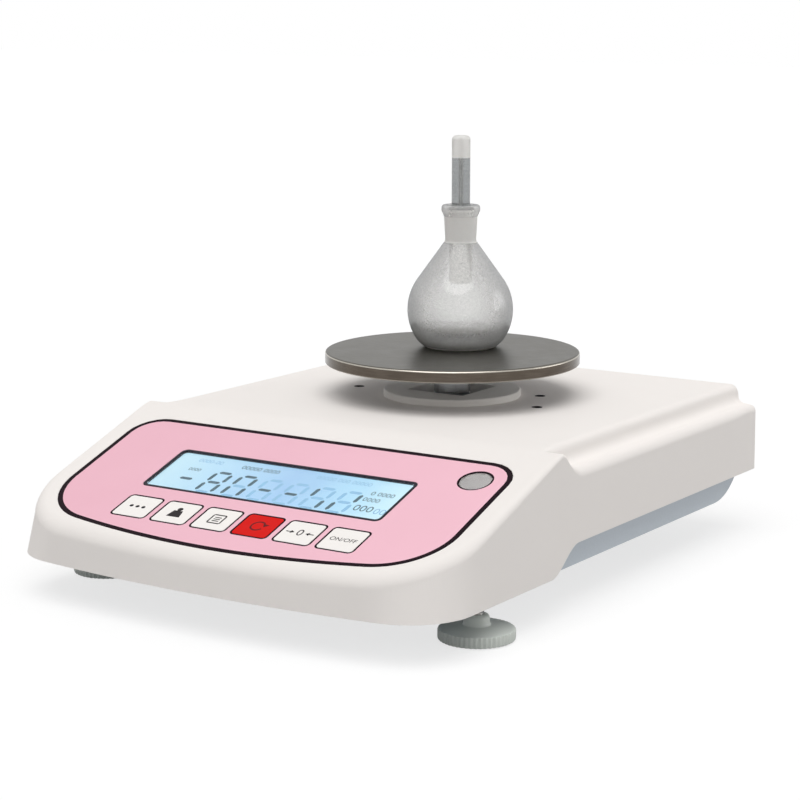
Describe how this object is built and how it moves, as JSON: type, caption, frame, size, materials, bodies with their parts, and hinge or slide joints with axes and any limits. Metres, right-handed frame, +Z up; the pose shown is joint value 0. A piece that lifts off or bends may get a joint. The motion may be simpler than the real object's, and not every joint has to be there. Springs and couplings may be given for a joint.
{
  "type": "benchtop density meter",
  "caption": "Low bench balance for density work: sloping console with display and keys, round steel pan on a post, levelling feet, glass density bottle on the pan.",
  "frame": {"origin": "on the bench under the middle of the whole instrument's box, feet at z = 0", "axes": "+X to the user's right, +Y from the console towards the rear wall, +Z up"},
  "size_m": [0.2264, 0.299, 0.1918],
  "materials": {
    "white_plastic": "satin, fine moulded grain",
    "grey_plastic": "matte, fine moulded grain",
    "pink_overlay": "satin printed film with a dark outline",
    "black_trim": "satin",
    "clear_plastic": "clear",
    "display": "lit liquid-crystal glass",
    "light_guide": "white light guide",
    "circuit_board": "solder mask",
    "black_plastic": "satin",
    "steel_screws": "zinc plated",
    "plated_steel": "nickel plated",
    "silver_grey": "silver-grey satin",
    "aluminium": "machined",
    "ribbon_grey": "flat cable",
    "brass": "turned",
    "black_rubber": "matte",
    "foot_grey": "matte moulded",
    "brushed_stainless": "brushed",
    "bottle_glass": "clear borosilicate with a ground neck",
    "stopper_glass": "clear and ground glass",
    "key_white": "satin film with a dark outline",
    "key_red": "satin film with a dark outline"
  },
  "bodies": {
    "housing": {"upper_housing": "white_plastic", "base_tray": "grey_plastic", "collar_ring": "white_plastic", "front_panel": "pink_overlay", "lcd_bezel": "black_trim", "lcd_window": "clear_plastic", "lcd_glass": "display", "backlight": "light_guide", "display_board": "circuit_board", "key_switches": "black_plastic", "display_screws": "steel_screws", "level_cup": "silver_grey", "level_vial": "clear_plastic", "load_cell": "aluminium", "cell_spacer": "aluminium", "cell_screws": "steel_screws", "pan_carrier": "aluminium", "carrier_screws": "steel_screws", "overload_stop": "steel_screws", "main_board": "circuit_board", "board_screws": "steel_screws", "ribbon_cable": "ribbon_grey", "power_inlet": "black_plastic", "data_port": "plated_steel", "case_screws": "steel_screws", "foot_inserts": "brass", "rear_feet": "black_rubber", "rear_foot_screws": "steel_screws"},
    "function_key": {"function_key": "key_white"},
    "calibrate_key": {"calibrate_key": "key_white"},
    "print_key": {"print_key": "key_white"},
    "mode_key": {"mode_key": "key_red"},
    "zero_key": {"zero_key": "key_white"},
    "power_key": {"power_key": "key_white"},
    "left_foot_pad": {"left_foot_pad": "black_rubber"},
    "left_foot_wheel": {"left_foot_wheel": "foot_grey", "left_foot_screw": "plated_steel"},
    "right_foot_pad": {"right_foot_pad": "black_rubber"},
    "right_foot_wheel": {"right_foot_wheel": "foot_grey", "right_foot_screw": "plated_steel"},
    "pan": {"weighing_pan": "brushed_stainless", "pan_support": "aluminium"},
    "bottle": {"bottle": "bottle_glass"},
    "stopper": {"stopper": "stopper_glass"}
  },
  "joints": [
    {"name": "function_press", "type": "slide", "parent": "housing", "child": "function_key", "axis": [0, 0.3206, -0.9472], "range_m": [0, 0.0004], "stiffness_N_per_m": 1000, "springref_m": -0.0002},
    {"name": "calibrate_press", "type": "slide", "parent": "housing", "child": "calibrate_key", "axis": [0, 0.3206, -0.9472], "range_m": [0, 0.0004], "stiffness_N_per_m": 1000, "springref_m": -0.0002},
    {"name": "print_press", "type": "slide", "parent": "housing", "child": "print_key", "axis": [0, 0.3206, -0.9472], "range_m": [0, 0.0004], "stiffness_N_per_m": 1000, "springref_m": -0.0002},
    {"name": "mode_press", "type": "slide", "parent": "housing", "child": "mode_key", "axis": [0, 0.3206, -0.9472], "range_m": [0, 0.0004], "stiffness_N_per_m": 1000, "springref_m": -0.0002},
    {"name": "zero_press", "type": "slide", "parent": "housing", "child": "zero_key", "axis": [0, 0.3206, -0.9472], "range_m": [0, 0.0004], "stiffness_N_per_m": 1000, "springref_m": -0.0002},
    {"name": "power_press", "type": "slide", "parent": "housing", "child": "power_key", "axis": [0, 0.3206, -0.9472], "range_m": [0, 0.0004], "stiffness_N_per_m": 1000, "springref_m": -0.0002},
    {"name": "left_foot_height", "type": "slide", "parent": "housing", "child": "left_foot_pad", "axis": [0, 0, 1], "range_m": [-0.003, 0.003]},
    {"name": "left_wheel_turn", "type": "hinge", "parent": "left_foot_pad", "child": "left_foot_wheel", "pos_m": [-0.0972, -0.088, 0], "axis": [0, 0, 1], "range_deg": [-1080, 1080]},
    {"name": "right_foot_height", "type": "slide", "parent": "housing", "child": "right_foot_pad", "axis": [0, 0, 1], "range_m": [-0.003, 0.003]},
    {"name": "right_wheel_turn", "type": "hinge", "parent": "right_foot_pad", "child": "right_foot_wheel", "pos_m": [0.0972, -0.088, 0], "axis": [0, 0, 1], "range_deg": [-1080, 1080]},
    {"name": "pan_lift", "type": "slide", "parent": "housing", "child": "pan", "axis": [0, 0, 1], "range_m": [0, 0.03]},
    {"name": "bottle_lift", "type": "slide", "parent": "pan", "child": "bottle", "axis": [0, 0, 1], "range_m": [0, 0.05]},
    {"name": "stopper_pull", "type": "slide", "parent": "bottle", "child": "stopper", "axis": [0, 0, 1], "range_m": [0, 0.045]}
  ],
  "couplings": [
    {"joint": "left_wheel_turn", "follows": "left_foot_height", "rad_per_m": 6283.2},
    {"joint": "right_wheel_turn", "follows": "right_foot_height", "rad_per_m": 6283.2}
  ]
}
